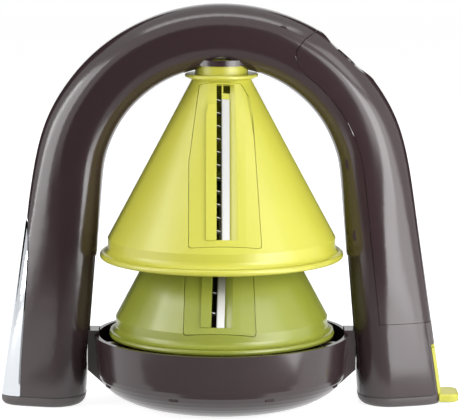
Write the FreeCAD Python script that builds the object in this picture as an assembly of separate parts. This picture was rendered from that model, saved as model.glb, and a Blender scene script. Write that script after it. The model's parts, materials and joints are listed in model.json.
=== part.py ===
"""Tornado potato cutter: an arch stand that drives a conical slicer over a catch bowl.

Units are millimetres. The origin is on the table, under the drive spindle. +Z is up, the slicing
slots face -Y, and the clamp lever is on the +X leg.
"""
import FreeCAD, Part
import math
import os

V = FreeCAD.Vector
AXIS_X, AXIS_Y, AXIS_Z = V(1, 0, 0), V(0, 1, 0), V(0, 0, 1)
FAR = 300.0                 # reach of a cutting solid past the part
os.makedirs("parts", exist_ok=True)

# ---------------------------------------------------------------- driving dimensions

# Arch stand
arch_top = 223.5            # top of the crown over the table
crown_thickness = 34.6      # hand grip, top to underside
limb_spread = 39.0          # from the window's radius to the outer radius
leg_outer_splay = 8.5       # a leg's outer face from the vertical, degrees
leg_inner_splay = 4.8       # a leg's inner face from the vertical, degrees
leg_join = 126.0            # height at which the straight legs start to bend
crown_depth = 35.0          # front to back at the crown
spring_depth = 37.0         # front to back where the legs start to bend
foot_depth = 40.0           # front to back at the table
outer_power = 4.6           # squareness of the limb's section towards its outer face
window_power = 2.5          # and towards the window
crease_inset = 14.0         # where a leg's front starts to slope back, from the outer radius
crease_crown = 7.0          # and at the crown, down from its top
crease_soft = 0.14          # rounding of that crease, as a share of half the limb's width
slope_foot, slope_crown = 15.0, 46.0   # how far the front slopes back there, degrees
section_points = 32         # points round one section
section_start = 4           # points from the outer face to the section's first point
leg_sections = 6            # sections along one leg
leg_runout = 3              # sections under the table, which are cut away
arch_step = 12.2            # degrees between the sections of the arch
shell_wall = 2.6
seam_gap = 0.12             # between parts of the casing

# Feet
cap_height = 6.3            # seam between a leg's shells and its foot cap
cap_corner = 4.5            # rounding under a foot cap
cap_steps = 6               # facets of that rounding
cap_floor = 2.4             # bottom wall of a foot cap
cap_wall = 3.0
pad_thickness = 1.6         # rubber pad under a foot
pad_proud = 0.4             # how far the pad holds the cap off the table
pad_inset = 9.0             # from a leg's outline to its pad
pad_gap = 0.1

# Spine on the right leg's outer face, which carries the lever's pin
spine_top = 47.2
spine_visible = 3.5         # width seen beside the shells
spine_thickness = 7.0       # with its part inside the shells

# Limb cover on the right limb, in degrees round the arch and shares of the limb's width
cover_nose_angle = 63.0
cover_nose_shape = ((0.8, 0.80), (0.0, 0.60), (0.9, 0.48), (3.6, 0.39))  # degrees back, share
cover_brow = 3.0            # degrees from the nose back to the limb's outer face
cover_seam_share = 0.33
cover_past = 1.25           # share that is surely outside the limb
cover_points = 7            # points along each side of the outline
cover_bottom = 47.6

# Chrome trim on the left leg
trim_tip = 113.0            # height of the pointed top
trim_foot_half = 13.9       # half-width just over the foot cap
trim_swell, trim_round, trim_taper = 8.0, 0.45, 0.12  # fullness of the leaf's two edges
trim_steps = 12             # points along one edge
trim_thickness = 1.3
trim_proud = 0.25

# Channels in the legs that the bowl's lugs run in
channel_half = 8.0          # half the channel's width
channel_depth = 15.2        # from its mouth, well inside the window, to its floor
channel_top = 84.3
channel_wall = 2.0

# Bowl
bowl_rim_radius = 71.1
bowl_rim_height = 39.9
bowl_flare = 1.1            # rim over belly, in radius
bowl_belly_height = 22.0    # where the rounded underside meets the wall
bowl_flat_radius = 32.0     # flat middle of the underside
bowl_wall = 2.5
bowl_lift = 0.5             # underside over the table
lug_half = 7.4
lug_reach = 3.5             # lug's end beyond the rim
lug_clearance = 0.6         # between a lug's end and the channel's floor
window_clearance = 2.1      # between the rim and the legs
lug_rise = 2.4              # lug top over the rim
lug_low = 20.0              # height where the lug's end turns inwards
lug_root_low = 11.5
seat_rib_count = 8
seat_rib_width = 5.0
seat_rib_depth = 7.0
ridge_under_rim = 0.8
base_pad_radius = 29.5      # rubber pad under the bowl
base_pad_depth = 1.6

# Food spikes in the middle of the bowl
spike_disc_radius = 20.0
spike_disc_thickness = 3.0
spike_count = 6
spike_circle = 12.0
spike_radius = 0.9
spike_length = 16.0
centre_spike_length = 22.0

# Cones: shared sizes
cone_slope = 0.535          # radius gained per millimetre of drop
cone_wall = 2.3
cone_neck_radius = 16.3     # wall radius just under the flange
flange_radius = 20.2
flange_thickness = 3.2
flange_taper = 1.5          # height of the flange's sloping underside
flange_edge = 0.5           # bevel round the flange and the collar
collar_radius = 14.6
lip_thickness = 3.6
lip_to_skirt = 11.4         # from the lip's underside to the top of the short skirt
skirt_fillet = 3.2
upper_lip_height, upper_skirt_radius, upper_lip_radius = 82.8, 63.3, 67.8
lower_lip_height, lower_lip_width = 38.6, 3.8
lower_lip_gap = 4.7         # between the lip and the bowl's wall
lower_turn = -3.0           # the stored cone is turned a little, degrees
collar_entry = 4.6          # how far the collar goes up into the crown
collar_gap = 0.5            # round the collar in the crown's mouth
mouth_wall = 2.0            # ring round the collar under the crown
mouth_rise = 1.4            # from the crown's underside up to the ring's
mouth_slot_half = 3.5       # slot in the ring that the release bar's nose passes

# Slot panel, along the slope from the top of the skirt
panel_left, panel_right = -17.6, 21.3
panel_top_left, panel_top_right = -12.0, 10.6
panel_gap = 0.28
panel_corner = 1.6          # rounding of the lower corners
panel_knee = 0.52           # share of the height up to which the left edge is straight
panel_shoulder = 9.0        # from the top down to the shoulder of the right edge
panel_shoulder_in = 5.0     # how far that shoulder has come in
panel_under_flange = 0.3
panel_backing = 4.6         # thickness of the panel behind the slot
slot_left, slot_right = -2.7, 0.1
slot_under_panel = 0.9
ledge_left = -8.3
ledge_height = 0.5
ledge_under_slot = 12.0     # from the slot's top to the ledge's top
ramp_right = 12.0
ramp_steps = 6
ramp_end = 0.1                # depth left where the ramp runs out
blade_width = 4.2
blade_thickness = 0.6
blade_rise = 1.5            # cutting edge under the cone's surface
blade_tilt = 14.0           # degrees
tooth_thickness = 0.5
comb_thickness = 0.7
comb_inset = 1.2            # from the ledge's left edge to the comb's
blade_under_slot = 8.4      # from the slot's top to the blade's top
blade_screw_radius = 0.9
blade_screw_shares = (0.08, 0.5, 0.9)  # places along the backing
screw_flush = 1.2           # height of a blade screw's head behind the panel

# Drive
shaft_height = 208.0        # crank shaft over the table
gear_module = 1.0
gear_teeth = 16
gear_face = 3.6
gear_hub = 2.2
tooth_share = 0.40          # tooth thickness over the circular pitch
shaft_radius = 3.0
bush_wall = 2.0
bush_flange = 1.6
running_gap = 0.05          # radial, between a shaft and its bush
fit_gap = 0.02              # radial, where a wheel is fixed on its shaft
bracket_plate = 3.0
plate_gap = 0.8             # between the collar and the bracket's plate
bracket_gap = 0.2           # between the pieces inside the crown and its shells
bracket_half = 17.0
hex_across = 8.0
hex_gap = 0.2
hex_below_collar = 11.5     # hex length inside the collar

# Crank
crank_throw = 42.0
crank_front = 31.0          # front face of the arm, behind the arch
crank_thickness = 6.0
crank_hub_radius = 10.0
crank_tip_radius = 8.0
knob_length = 31.0
knob_radius = 10.0
knob_neck_radius = 7.5
knob_gap = 0.4
knob_pin_radius = 2.5

# Thumb button in the shoulder dish
button_angle = 47.7         # round the arch, from the horizontal
button_radius = 6.3
button_gap = 0.3
button_travel = 2.5
dish_length, dish_width = 40.6, 23.5
dish_depth = 2.2
dish_sag = 1.0              # the dished floor's middle under its rim
dish_thickness = 5.0
button_stem_radius = 3.0

# Release bar inside the right limb
bar_radius = 81.0           # middle of the bar, from the arch's centre
bar_height = 6.0
bar_half_width = 4.0
bar_low_angle, bar_high_angle = 41.0, 73.0
bar_gap = 0.35
nose_gap = 0.2              # between the bar's nose and the cone's collar

# Clamp lever on the right leg
lever_top = 40.6
lever_thickness = 2.2
lever_half_width = 10.6
lever_pin_height = 36.0
lever_pin_inset = 3.0
lever_pin_radius = 1.5
lever_pin_half = 7.4        # half the pin's length
knuckle_radius = 2.8
knuckle_half = 5.0          # half-width of the knuckle, and of the arm above its shoulders
shoulder_drop = 3.5         # from the pin down to the arm's shoulders
lever_gap = 0.3             # round the arm in its recess
shoulder_room = 2.2         # over the arm's shoulders, whose corners rise as it swings
lever_swing_gap = 0.8       # over the arm, whose top corner rises as it swings
heel_inset = 3.4            # from the pin to the heel that pushes the rod
heel_drop = 7.5             # from the pin down to the heel's lower end
lever_tab_reach = 8.8       # beyond the leg
lever_tab_height = 4.6
lever_tab_corner = 5.0
lever_tab_edge = 0.9
lever_tab_rise = 2.0
rod_side = 6.0
rod_height = 29.0
rod_gap = 0.15
rod_tip = 3.0
tip_gap = 0.2               # between the rubber tip and the channel's floor, and round the tip
guide_wall = 2.2
guide_length = 16.0

# Screws
screw_radius = 1.5
screw_head_radius = 2.9
screw_head_height = 2.0
screw_slack = 0.1           # radial, round a shank that passes freely
head_slack = 0.2            # radial, round a sunk head
head_depth = 6.0            # from the end of a rear boss to the head's seat
boss_radius = 4.4
boss_blind = 3.0            # solid end of a front boss
boss_root = 0.7             # share of the wall that a boss runs into
boss_seam = 0.02            # each boss ends this far from the middle plane


# ---------------------------------------------------------------- general helpers

def save(name, *solids):
    """Write one node, a single solid or a group of solids."""
    shape = solids[0] if len(solids) == 1 else Part.makeCompound(list(solids))
    shape.exportStep("parts/%s.step" % name)
    print("%-24s solids %2d  volume %9.1f" % (name, len(shape.Solids), shape.Volume))


def box(x0, x1, y0, y1, z0, z1):
    return Part.makeBox(x1 - x0, y1 - y0, z1 - z0, V(x0, y0, z0))


def rod(radius, start, end):
    return Part.makeCylinder(radius, (end - start).Length, start, end - start)


def prism(points, y0, y1):
    """A closed outline of (x, z) points, extruded along Y."""
    wire = Part.makePolygon([V(x, y0, z) for x, z in points + points[:1]])
    return Part.Face(wire).extrude(V(0, y1 - y0, 0))


def turned(profile):
    """A closed outline of (radius, z) points, turned about Z."""
    wire = Part.makePolygon([V(r, 0, z) for r, z in profile + profile[:1]])
    return Part.Face(wire).revolve(V(0, 0, 0), AXIS_Z, 360)


def hexagon(across, z0, z1):
    corner = across / math.sqrt(3.0)
    points = [V(corner * math.cos(math.radians(60 * k)), corner * math.sin(math.radians(60 * k)), z0)
              for k in range(7)]
    return Part.Face(Part.makePolygon(points)).extrude(V(0, 0, z1 - z0))


def about_y(shape, degrees, centre):
    """Turn a copy about the Y direction so that positive degrees go from +X towards +Z."""
    copy = shape.copy()
    copy.rotate(centre, AXIS_Y, -degrees)
    return copy


def front_of(shape):
    return shape.common(box(-FAR, FAR, -FAR, 0, -FAR, FAR))


def rear_of(shape):
    return shape.common(box(-FAR, FAR, 0, FAR, -FAR, FAR))


# ---------------------------------------------------------------- sizes that follow others

bowl_belly_radius = bowl_rim_radius - bowl_flare
lower_lip_radius = bowl_belly_radius - bowl_wall - lower_lip_gap
lower_skirt_radius = lower_lip_radius - lower_lip_width
channel_floor = bowl_rim_radius + lug_reach + lug_clearance
channel_mouth = channel_floor - channel_depth
splay = math.radians(leg_inner_splay)
window_height = arch_top - crown_thickness - bowl_rim_height
arch_inner_radius = ((bowl_rim_radius + window_clearance - math.tan(splay) * window_height)
                     / (math.cos(splay) + math.tan(splay) * (math.sin(splay) - 1)))
arch_outer_radius = arch_inner_radius + limb_spread
crease_x = arch_outer_radius - crease_inset


# ---------------------------------------------------------------- arch limb

def on_circle(radius, height, degrees):
    """Point of a circle about the Y direction, as (x, z), measured from +X towards +Z."""
    turn = math.radians(degrees)
    return radius * math.cos(turn), height + radius * math.sin(turn)


outer_centre = arch_top - arch_outer_radius
inner_centre = arch_top - crown_thickness - arch_inner_radius


def outer_x(z):
    """Outer face of a leg at height z."""
    x, start = on_circle(arch_outer_radius, outer_centre, leg_outer_splay)
    return x + math.tan(math.radians(leg_outer_splay)) * (start - z)


def inner_x(z):
    """Inner face of a leg at height z."""
    x, start = on_circle(arch_inner_radius, inner_centre, leg_inner_splay)
    return x + math.tan(math.radians(leg_inner_splay)) * (start - z)


def leg_station(side, z):
    depth = spring_depth + (foot_depth - spring_depth) * (leg_join - z) / leg_join
    return V(side * outer_x(z), 0, z), V(side * inner_x(z), 0, z), depth / 2


def arch_station(degrees):
    """Section of the arch at an angle of its outer face from the horizontal."""
    share = (degrees - leg_outer_splay) / (180 - 2 * leg_outer_splay)
    inner_degrees = leg_inner_splay + share * (180 - 2 * leg_inner_splay)
    x, z = on_circle(arch_outer_radius, outer_centre, degrees)
    u, w = on_circle(arch_inner_radius, inner_centre, inner_degrees)
    depth = spring_depth + (crown_depth - spring_depth) * math.sin(math.radians(degrees))
    return V(x, 0, z), V(u, 0, w), depth / 2


def limb_point(station, share):
    """A point across the limb: share 0 is the window side, 1 the outer side."""
    outer, inner, half_depth = station
    point = inner + (outer - inner) * share
    return point.x, point.z


def slope_back(station, across):
    """Share of the limb's depth that its crease leaves, from -1 at the window to 1 outside."""
    outer, inner, half_depth = station
    half_width = (outer - inner).Length / 2
    rise = max(0.0, (outer.z - leg_join) / (arch_top - leg_join))
    at_leg = outer_x(min(outer.z, leg_join)) - crease_x
    past = across - 1 + (at_leg + (crease_crown - at_leg) * rise) / half_width
    past = (past + math.hypot(past, crease_soft)) / 2
    tilt = slope_foot + (slope_crown - slope_foot) * (max(outer.z, 0.0) / arch_top) ** 2
    return 1 - past * math.tan(math.radians(tilt)) * half_width / half_depth


def limb_reach(station, share):
    """Half the limb's front-to-back size at a share of its width."""
    across = 2 * share - 1
    power = outer_power if across > 0 else window_power
    reach = station[2] * (1 - abs(across) ** power) ** (1 / power)
    return reach * slope_back(station, across)


def section(station, inset):
    """Points round the limb's section, creased and square outside and oval towards the window."""
    outer, inner, half_depth = station
    centre = (outer + inner) * 0.5
    half_width = (outer - inner).Length / 2 - inset
    across = (outer - inner).normalize()
    points = []
    for k in range(section_points + 1):
        turn = 2 * math.pi * (k + section_start) / section_points
        c, s = math.cos(turn), math.sin(turn)
        power = outer_power if c > 0 else window_power
        a = math.copysign(abs(c) ** (2 / power), c)
        b = math.copysign(abs(s) ** (2 / power), s) * slope_back(station, a)
        points.append(centre + across * (a * half_width) + V(0, b * (half_depth - inset), 0))
    points[-1] = points[0]
    return points


def section_wire(station, inset):
    curve = Part.BSplineCurve()
    curve.interpolate(section(station, inset)[:-1], PeriodicFlag=True)
    return Part.Wire([curve.toShape()])


def closed_skin(rows):
    """A solid through rows of section points, closed by flat ends."""
    surface = Part.BSplineSurface()
    surface.interpolate(rows)
    skin = surface.toShape()
    ends = [Part.Face(Part.Wire([edge])) for edge in skin.Edges if edge.isClosed()]
    shell = Part.makeShell([skin] + ends)
    shell.sewShape()
    return Part.Solid(shell)


limb_cache = {}


def long_limb(inset):
    """The arch with its legs run on under the table, its outline moved inwards by inset."""
    if inset not in limb_cache:
        spacing = leg_join / leg_sections
        heights = [leg_join - spacing * k for k in range(leg_sections + leg_runout, -1, -1)]
        start = leg_outer_splay + arch_step
        count = round((180 - 2 * start) / arch_step)
        angles = [start + (180 - 2 * start) * k / count for k in range(count + 1)]
        stations = [leg_station(1, z) for z in heights]
        stations += [arch_station(a) for a in angles]
        stations += [leg_station(-1, z) for z in reversed(heights)]
        limb_cache[inset] = closed_skin([section(s, inset) for s in stations])
    return limb_cache[inset]


def limb(inset, bottom):
    """The arch from a height upwards, as a solid with its outline moved inwards."""
    return long_limb(inset).common(box(-FAR, FAR, -FAR, FAR, bottom, FAR))


def leg(side, inset, bottom, top):
    """A stretch of one leg as a solid with its outline moved inwards."""
    x0, x1 = sorted((0.0, side * FAR))
    return long_limb(inset).common(box(x0, x1, -FAR, FAR, bottom, top))


def cover_outline(gap):
    """Region of the right limb that its cover takes, as (x, z) points, drawn in by gap."""
    share = cover_seam_share + gap / crown_thickness
    nose = cover_nose_angle - gap
    brow = nose - cover_brow
    points = [limb_point(arch_station(brow), cover_past), limb_point(arch_station(brow), 1.0)]
    points += [limb_point(arch_station(nose - back), s) for back, s in cover_nose_shape]
    high, low = cover_nose_angle - 9.0, leg_outer_splay + 3.5
    points += [limb_point(arch_station(high + (low - high) * k / cover_points), share)
               for k in range(cover_points + 1)]
    bottom = cover_bottom + gap
    points += [limb_point(leg_station(1, leg_join + (bottom - leg_join) * k / 4), share)
               for k in range(5)]
    points.append(limb_point(leg_station(1, bottom), cover_past))
    points.append(limb_point(leg_station(1, leg_join), cover_past))
    points += [limb_point(arch_station(low + (brow - low) * k / cover_points), cover_past)
               for k in range(cover_points)]
    return points


def trim_half(z):
    """Half-width of the chrome trim at height z."""
    rise = (z - cap_height) / (trim_tip - cap_height)
    return trim_foot_half * (1.0 - rise ** trim_swell) ** trim_round * (1.0 - trim_taper * rise)


def trim_outline(gap):
    """Leaf outline of the trim as (y, z) points, grown by gap."""
    low = cap_height + seam_gap - gap
    heights = [low + (trim_tip - low) * k / trim_steps for k in range(trim_steps)]
    left = [(-trim_half(max(z, cap_height)) - gap, z) for z in heights]
    right = [(-y, z) for y, z in reversed(left)]
    return left + [(0.0, trim_tip + 1.5 * gap)] + right


def trim_prism(gap):
    outline = trim_outline(gap)
    wire = Part.makePolygon([V(-FAR, y, z) for y, z in outline + outline[:1]])
    leg_middle = (outer_x(trim_tip) + inner_x(0.0)) / 2
    return Part.Face(wire).extrude(V(FAR - leg_middle, 0, 0))


def strip(inner_offset, outer_offset, z0, z1):
    """A strip along the right leg's outer face, between two distances in from that face."""
    points = [(outer_x(z0) - inner_offset, z0), (outer_x(z0) - outer_offset, z0),
              (outer_x(z1) - outer_offset, z1), (outer_x(z1) - inner_offset, z1)]
    return prism(points, -foot_depth, foot_depth)


# ---------------------------------------------------------------- casing

arch_centre = V(0, 0, outer_centre)
button_centre = on_circle(arch_outer_radius, outer_centre, button_angle)
button_normal = V(math.cos(math.radians(button_angle)), 0, math.sin(math.radians(button_angle)))
button_origin = V(button_centre[0], 0, button_centre[1])
lever_pin_x = outer_x(lever_pin_height) - lever_pin_inset
bush_outer = shaft_radius + running_gap + bush_wall
crown_underside = arch_top - crown_thickness
collar_top = crown_underside + collar_entry
nose_low = collar_top - 1.9     # underside of the release bar's nose

limb_solid = limb(0.0, cap_height)
limb_space = limb(shell_wall, cap_height - 1.0)
mechanism_space = limb(shell_wall + bracket_gap, cap_height)
limb_shell = limb_solid.cut(limb_space)


def button_frame(shape):
    """Place a shape made with +Z out of the button's face, +X up along the limb."""
    placed = shape.copy()
    placed.Placement = FreeCAD.Placement(
        button_origin, FreeCAD.Rotation(AXIS_Y, 90.0 - button_angle)).multiply(placed.Placement)
    placed.rotate(button_origin, button_normal, 180)
    return placed


def dish_oval(grow, z0, z1):
    circle = Part.Wire([Part.Ellipse(V(0, 0, z0), dish_length / 2 + grow,
                                     dish_width / 2 + grow).toShape()])
    return button_frame(Part.Face(circle).extrude(V(0, 0, z1 - z0)))


def boss_places():
    """Screw bosses that join the two shells, as (x, z, reach from the middle plane)."""
    places = [(leg_station(-1, 34.0), 0.6), (leg_station(-1, 96.0), 0.5),
              (arch_station(148.0), 0.5), (arch_station(114.0), 0.5), (arch_station(70.0), 0.72),
              (arch_station(14.0), 0.2), (leg_station(1, 97.0), 0.2)]
    return [limb_point(station, share) + (limb_reach(station, share) - shell_wall * boss_root,)
            for station, share in places]


def make_shells():
    front, rear = front_of(limb_shell), rear_of(limb_shell)
    for x, z, reach in boss_places():
        front = front.fuse(rod(boss_radius, V(x, -reach, z), V(x, -boss_seam, z)))
        rear = rear.fuse(rod(boss_radius, V(x, boss_seam, z), V(x, reach, z)))
        front = front.cut(rod(screw_radius, V(x, boss_blind - reach, z), V(x, 0, z)))
        rear = rear.cut(rod(screw_radius + screw_slack, V(x, 0, z), V(x, FAR, z)))
        rear = rear.cut(rod(screw_head_radius + head_slack, V(x, reach - head_depth, z), V(x, FAR, z)))
    mouth = make_mouth()
    front, rear = front.fuse(front_of(mouth)), rear.fuse(rear_of(mouth))
    cutters = [prism(cover_outline(-seam_gap), -FAR, FAR),
               strip(spine_visible + seam_gap, -20, 0, spine_top + seam_gap),
               Part.makeCylinder(collar_radius + collar_gap, 20, V(0, 0, collar_top - 15)),
               trim_cutter()]
    for side in (1, -1):
        cutters.append(channel_block(side, seam_gap))
    for cutter in cutters:
        front, rear = front.cut(cutter), rear.cut(cutter)
    bush_hole = rod(bush_outer + fit_gap, V(0, 0, shaft_height), V(0, FAR, shaft_height))
    return front, rear.cut(bush_hole)


def make_mouth():
    """Ring round the cone's collar that closes the crown's rounded underside."""
    outside = collar_radius + collar_gap + mouth_wall
    ring = Part.makeCylinder(outside, collar_top - crown_underside - mouth_rise,
                             V(0, 0, crown_underside + mouth_rise))
    return ring.cut(box(0, outside + 1, -mouth_slot_half, mouth_slot_half, nose_low - 0.7, FAR))


def channel_block(side, grow):
    """Outside of a channel liner, before it is trimmed to the leg."""
    x0, x1 = sorted((channel_mouth * side, side * (channel_floor + channel_wall + grow)))
    half = channel_half + channel_wall + grow
    return box(x0, x1, -half, half, -5, channel_top + channel_wall + grow)


def channel_space(side):
    """Open space of a channel, which the bowl's lug runs in."""
    x0, x1 = sorted((channel_mouth * side, channel_floor * side))
    return box(x0, x1, -channel_half, channel_half, -5, channel_top)


def make_channel(side):
    liner = channel_block(side, 0.0).common(leg(side, 0.0, cap_height + seam_gap, leg_join))
    liner = liner.cut(channel_space(side))
    if side > 0:
        reach = channel_floor + channel_wall
        outside = rod_side / 2 + guide_wall
        guide = box(reach - channel_wall / 4, reach + guide_length, -outside, outside,
                    rod_height - outside, rod_height + outside)
        half = rod_side / 2 + rod_gap
        liner = liner.fuse(guide).cut(box(channel_mouth, FAR, -half, half,
                                          rod_height - half, rod_height + half))
    return liner


def trim_cutter():
    outside = leg(-1, -3 * trim_proud - 1.0, 0.0, leg_join)
    inside = leg(-1, trim_thickness, -1.0, leg_join + 1.0)
    return outside.cut(inside).common(trim_prism(seam_gap))


def make_trim():
    outside = leg(-1, -trim_proud, 0.0, leg_join)
    inside = leg(-1, trim_thickness - seam_gap / 2, -1.0, leg_join + 1.0)
    return outside.cut(inside).common(trim_prism(0.0))


def make_cover():
    cover = limb_shell.common(prism(cover_outline(seam_gap), -FAR, FAR))
    cover = cover.cut(dish_oval(seam_gap, -20, 20))
    return cover.cut(strip(spine_visible + seam_gap, -20, 0, spine_top + seam_gap))


def make_dish():
    """Dished bezel round the thumb button."""
    plug = dish_oval(0.0, -dish_thickness, 5.0).common(limb_solid)
    ball = ((dish_length / 2) ** 2 + dish_sag ** 2) / (2 * dish_sag)
    hollow = Part.makeSphere(ball, V(0, 0, ball - dish_depth - dish_sag))
    flat = box(-FAR, FAR, -FAR, FAR, -dish_depth, FAR)
    bore = Part.makeCylinder(button_radius + button_gap, 40, V(0, 0, -20))
    plug = plug.cut(button_frame(flat))
    return plug.cut(button_frame(hollow)).cut(button_frame(bore))


def cap_body(side):
    """Outside of a foot cap, rounded underneath."""
    wires = []
    for k in range(cap_steps + 1):
        turn = math.pi / 2 * k / cap_steps
        height = pad_proud + cap_corner * (1 - math.cos(turn))
        wires.append(section_wire(leg_station(side, height), cap_corner * (1 - math.sin(turn))))
    wires.append(section_wire(leg_station(side, cap_height), 0.0))
    return Part.makeLoft(wires, True, True, False)


def pad_block(side, grow, top):
    return leg(side, pad_inset - grow, 0.0, top)


def make_cap(side):
    cap = cap_body(side)
    cap = cap.cut(leg(side, cap_wall, cap_floor + pad_proud, cap_height + 1.0))
    if side > 0:
        cap = cap.cut(lever_recess())
    seat = pad_block(side, pad_gap, pad_thickness + pad_gap)
    return cap.cut(seat).cut(channel_space(side))


def make_spine():
    """Strip on the right leg's outer face that closes the shells and carries the lever's pin."""
    visible = leg(1, 0.0, cap_height, spine_top).common(
        strip(spine_visible, -5, cap_height, spine_top))
    inside = leg(1, shell_wall + bracket_gap, cap_height, spine_top).common(
        strip(spine_thickness, -5, cap_height, spine_top))
    spine = visible.fuse(inside).cut(lever_recess())
    half = knuckle_half + lever_gap
    pocket_low = rod_height - rod_side / 2 - lever_gap
    spine = spine.cut(box(0, FAR, -half, half, pocket_low, lever_top + lever_swing_gap))
    pin_end = V(0, lever_pin_half + seam_gap, 0)
    pin_middle = V(lever_pin_x, 0, lever_pin_height)
    return spine.cut(rod(lever_pin_radius + fit_gap, pin_middle - pin_end, pin_middle + pin_end))


def lever_recess():
    """Recess that the lever's wide arm lies in, from under the foot to the arm's shoulders."""
    top = lever_pin_height - shoulder_drop + shoulder_room
    half = lever_half_width + lever_gap
    recess = strip(lever_thickness + lever_gap, -20, -2.0, top)
    return recess.common(box(0, FAR, -half, half, -FAR, FAR))


# ---------------------------------------------------------------- lever and clamp

def make_lever():
    """Thumb lever: a wide arm in the leg's outline, a tab at the foot and a knuckle on the pin."""
    shoulder = lever_pin_height - shoulder_drop
    face = leg(1, 0.0, 0.0, lever_top)
    arm = strip(lever_thickness, 0.0, lever_tab_rise, shoulder).common(face)
    arm = arm.common(box(0, FAR, -lever_half_width, lever_half_width, 0, FAR))
    neck = strip(lever_thickness, 0.0, shoulder - 1.0, lever_top).common(face)
    neck = neck.common(box(0, FAR, -knuckle_half, knuckle_half, 0, FAR))
    root = outer_x(lever_tab_rise) - lever_thickness
    tab_end = outer_x(lever_tab_rise) + lever_tab_reach
    tab = Part.makeBox(tab_end - root, 2 * lever_half_width, lever_tab_height,
                       V(root, -lever_half_width, lever_tab_rise))
    corners = [e for e in tab.Edges
               if abs(e.Vertexes[0].X - tab_end) < 1e-6
               and abs(e.Vertexes[1].X - tab_end) < 1e-6
               and abs(e.Vertexes[0].Z - e.Vertexes[1].Z) > 1]
    tab = tab.makeFillet(lever_tab_corner, corners)
    rims = [e for e in tab.Edges if e.BoundBox.XMax > root + 2 and e.BoundBox.ZLength < 1e-6]
    tab = tab.makeFillet(lever_tab_edge, rims)
    knuckle = rod(knuckle_radius, V(lever_pin_x, -knuckle_half, lever_pin_height),
                  V(lever_pin_x, knuckle_half, lever_pin_height))
    heel_z = lever_pin_height - heel_drop
    web = prism([(lever_pin_x - knuckle_radius, lever_pin_height + 1.0),
                 (outer_x(lever_top) - 1.0, lever_top - 1.5), (outer_x(heel_z) - 1.0, heel_z),
                 (lever_pin_x - heel_inset, heel_z)], -knuckle_half, knuckle_half)
    lever = arm.fuse([neck, tab, knuckle, web])
    return lever.cut(rod(lever_pin_radius + running_gap, V(lever_pin_x, -20, lever_pin_height),
                         V(lever_pin_x, 20, lever_pin_height)))


def make_clamp():
    """Push rod from the lever's heel to the bowl's lug, and its rubber tip."""
    half = rod_side / 2
    heel = lever_pin_x - heel_inset
    start = channel_floor - tip_gap + rod_tip
    bar = box(start, heel - lever_gap, -half, half, rod_height - half, rod_height + half)
    slim = half - tip_gap
    tip = box(start - rod_tip, start, -slim, slim, rod_height - slim, rod_height + slim)
    return bar, tip


# ---------------------------------------------------------------- cones

def neck_over(lip_height, skirt_radius):
    """Height at which a cone's wall ends under its flange."""
    return lip_height + lip_to_skirt + (skirt_radius - cone_neck_radius) / cone_slope


upper_neck = neck_over(upper_lip_height, upper_skirt_radius)


def arc(centre_r, centre_z, radius, start, end, steps):
    """Points (r, z) along an arc, in degrees from the radial direction."""
    turns = [math.radians(start + (end - start) * k / steps) for k in range(steps + 1)]
    return [(centre_r + radius * math.cos(t), centre_z + radius * math.sin(t)) for t in turns]


def cone_outer(lip_height, skirt_radius, lip_radius):
    """The filled outside of a cone: lip, short skirt, long wall, flange and collar."""
    neck = neck_over(lip_height, skirt_radius)
    crown = neck + collar_top - upper_neck
    half_lip = lip_thickness / 2
    flange_top = neck + flange_thickness
    profile = [(0.0, lip_height)]
    profile += arc(lip_radius - half_lip, lip_height + half_lip, half_lip, -90, 90, 6)
    profile += arc(skirt_radius + skirt_fillet, lip_height + lip_thickness + skirt_fillet,
                   skirt_fillet, 270, 180, 4)
    profile += [(skirt_radius, lip_height + lip_to_skirt), (cone_neck_radius, neck),
                (cone_neck_radius + 2 * flange_edge, neck + flange_edge / 2),
                (flange_radius - flange_edge / 2, neck + flange_taper),
                (flange_radius, neck + flange_taper + flange_edge / 2),
                (flange_radius, flange_top - flange_edge), (flange_radius - flange_edge, flange_top),
                (collar_radius, flange_top), (collar_radius, crown - flange_edge),
                (collar_radius - flange_edge, crown), (0.0, crown)]
    return turned(profile), neck, crown


def cone_inner(lip_height, skirt_radius):
    """The space inside a cone, one wall in from its outside."""
    neck = neck_over(lip_height, skirt_radius)
    foot_radius = skirt_radius - cone_wall
    top_radius = cone_neck_radius - cone_wall * (math.hypot(1.0, cone_slope) - cone_slope)
    ceiling = neck - cone_wall
    return turned([(0.0, lip_height - 5), (foot_radius, lip_height - 5),
                   (foot_radius, lip_height + lip_to_skirt - cone_wall / 4),
                   (top_radius, ceiling), (0.0, ceiling)])


def on_slope(shape, lip_height, skirt_radius):
    """Place a shape made with +Y up the slope and +Z out of the cone's front."""
    slope_angle = math.degrees(math.atan(cone_slope))
    placed = shape.copy()
    placed.Placement = FreeCAD.Placement(V(0, -skirt_radius, lip_height + lip_to_skirt),
                                         FreeCAD.Rotation(AXIS_X, 90.0 - slope_angle))
    return placed


def plate(points, h0, h1):
    """A closed outline of (x, along slope) points, between two heights over the cone's front."""
    wire = Part.makePolygon([V(x, s, h0) for x, s in points + points[:1]])
    return Part.Face(wire).extrude(V(0, 0, h1 - h0))


def slot_outline(bottom, top, grow):
    """Outline of the slot panel with its lower corners rounded."""
    left, right = panel_left - grow, panel_right + grow
    low, high = bottom - grow, top + grow
    knee = low + (high - low) * panel_knee
    corner, nick = panel_corner, panel_corner * 0.3
    return [(left + corner, low), (right - corner, low), (right - nick, low + nick),
            (right, low + corner), (panel_right - panel_shoulder_in + grow, high - panel_shoulder),
            (panel_top_right + grow, high), (panel_top_left - grow, high),
            (left, knee), (left, low + corner), (left + nick, low + nick)]


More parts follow.
